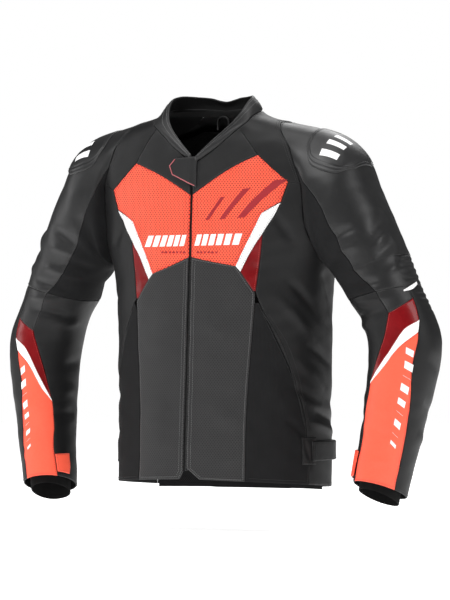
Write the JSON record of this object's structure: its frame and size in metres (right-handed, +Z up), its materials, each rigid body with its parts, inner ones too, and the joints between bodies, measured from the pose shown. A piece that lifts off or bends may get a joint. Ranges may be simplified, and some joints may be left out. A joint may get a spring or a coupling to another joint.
{
  "type": "leather motorcycle riding jacket",
  "caption": "Hip-length leather riding jacket with raglan sleeves, stand-up collar, front zip, shoulder caps, perforated panels and adjuster tabs",
  "frame": {"origin": "top inner face of the hanger loop inside the back of the collar", "axes": "+X to the wearer's left, -Y to the front of the jacket, +Z up along the back seam"},
  "size_m": [0.8637, 0.2536, 0.727],
  "materials": {
    "black_leather": "matt grained",
    "perforated_leather": "matt, perforated",
    "red_leather": "matt, perforated",
    "white_leather": "satin",
    "crimson_leather": "glossy",
    "stretch_fabric": "ribbed stretch weave",
    "lining_mesh": "mesh",
    "zip_plastic": "matt",
    "zip_metal": "black",
    "armour": "soft",
    "cap": "moulded"
  },
  "bodies": {
    "shell": {"front_panel_left": "perforated_leather", "front_panel_right": "perforated_leather", "chest_panel_left": "red_leather", "chest_panel_right": "red_leather", "chest_stripes": "white_leather", "chest_wedges": "crimson_leather", "front_yoke_left": "black_leather", "front_yoke_right": "black_leather", "side_front_left": "black_leather", "side_front_right": "black_leather", "side_panel_left": "stretch_fabric", "side_panel_right": "stretch_fabric", "shoulder_panel_left": "black_leather", "shoulder_panel_right": "black_leather", "side_back_left": "stretch_fabric", "side_back_right": "stretch_fabric", "back_panel": "black_leather", "back_yoke": "black_leather", "lining_front_left": "lining_mesh", "lining_front_right": "lining_mesh", "lining_back": "lining_mesh", "collar_band": "black_leather", "collar_lining": "lining_mesh", "hanger_loop": "stretch_fabric", "main_zip": "zip_plastic", "back_protector": "armour", "sleeve_head_left": "black_leather", "sleeve_head_right": "black_leather", "armhole_stretch_left": "stretch_fabric", "armhole_stretch_right": "stretch_fabric", "shoulder_armour": "armour", "shoulder_cap_left": "cap", "shoulder_cap_right": "cap"},
    "upper_arm_left": {"upper_sleeve_left": "black_leather", "inner_sleeve_left": "stretch_fabric", "upper_lining_left": "lining_mesh"},
    "forearm_left": {"elbow_armour_left": "armour", "forearm_under_left": "black_leather", "forearm_wedge_left": "crimson_leather", "forearm_stripe_left": "white_leather", "forearm_panel_left": "red_leather", "forearm_lining_left": "lining_mesh"},
    "cuff_strap_left": {"cuff_tab_left": "red_leather"},
    "strap_left": {"waist_strap_left": "stretch_fabric"},
    "upper_arm_right": {"upper_sleeve_right": "black_leather", "inner_sleeve_right": "stretch_fabric", "upper_lining_right": "lining_mesh"},
    "forearm_right": {"elbow_armour_right": "armour", "forearm_under_right": "black_leather", "forearm_wedge_right": "crimson_leather", "forearm_stripe_right": "white_leather", "forearm_panel_right": "red_leather", "forearm_lining_right": "lining_mesh"},
    "cuff_strap_right": {"cuff_tab_right": "red_leather"},
    "strap_right": {"waist_strap_right": "stretch_fabric"},
    "slider": {"zip_slider": "zip_metal"},
    "pull": {"zip_pull": "zip_metal"},
    "tab": {"collar_tab": "black_leather"}
  },
  "joints": [
    {"name": "shoulder_left", "type": "hinge", "parent": "shell", "child": "upper_arm_left", "pos_m": [0.332, -0.01, -0.16], "axis": [0, -1, 0], "range_deg": [0, 50]},
    {"name": "elbow_left", "type": "hinge", "parent": "upper_arm_left", "child": "forearm_left", "pos_m": [0.331, -0.0755, -0.3185], "axis": [-0.971, 0, -0.239], "range_deg": [0, 65]},
    {"name": "cuff_left", "type": "hinge", "parent": "forearm_left", "child": "cuff_strap_left", "pos_m": [0.31086, -0.08407, -0.5962], "axis": [0.2065, 0.0459, 0.9774], "range_deg": [0, 100]},
    {"name": "waist_left", "type": "hinge", "parent": "shell", "child": "strap_left", "pos_m": [0.19946, -0.04002, -0.61794], "axis": [0.0167, -0.0035, -0.9999], "range_deg": [0, 70]},
    {"name": "shoulder_right", "type": "hinge", "parent": "shell", "child": "upper_arm_right", "pos_m": [-0.332, -0.01, -0.16], "axis": [0, 1, 0], "range_deg": [0, 50]},
    {"name": "elbow_right", "type": "hinge", "parent": "upper_arm_right", "child": "forearm_right", "pos_m": [-0.331, -0.0755, -0.3185], "axis": [-0.971, 0, 0.239], "range_deg": [0, 65]},
    {"name": "cuff_right", "type": "hinge", "parent": "forearm_right", "child": "cuff_strap_right", "pos_m": [-0.30286, -0.08056, -0.61085], "axis": [0.1924, -0.0331, -0.9808], "range_deg": [0, 100]},
    {"name": "waist_right", "type": "hinge", "parent": "shell", "child": "strap_right", "pos_m": [-0.19946, -0.04002, -0.61794], "axis": [0.0167, 0.0035, 0.9999], "range_deg": [0, 70]},
    {"name": "zip_run", "type": "slide", "parent": "shell", "child": "slider", "axis": [0, -0.0479, -0.9988], "range_m": [0, 0.505]},
    {"name": "zip_pull_swing", "type": "hinge", "parent": "slider", "child": "pull", "pos_m": [-0.005, -0.11328, -0.09633], "axis": [-1, 0, 0], "range_deg": [0, 12]},
    {"name": "collar_tab_swing", "type": "hinge", "parent": "shell", "child": "tab", "pos_m": [0.00696, -0.12086, -0.12955], "axis": [-0.0057, 0.0481, 0.9988], "range_deg": [0, 140]}
  ]
}
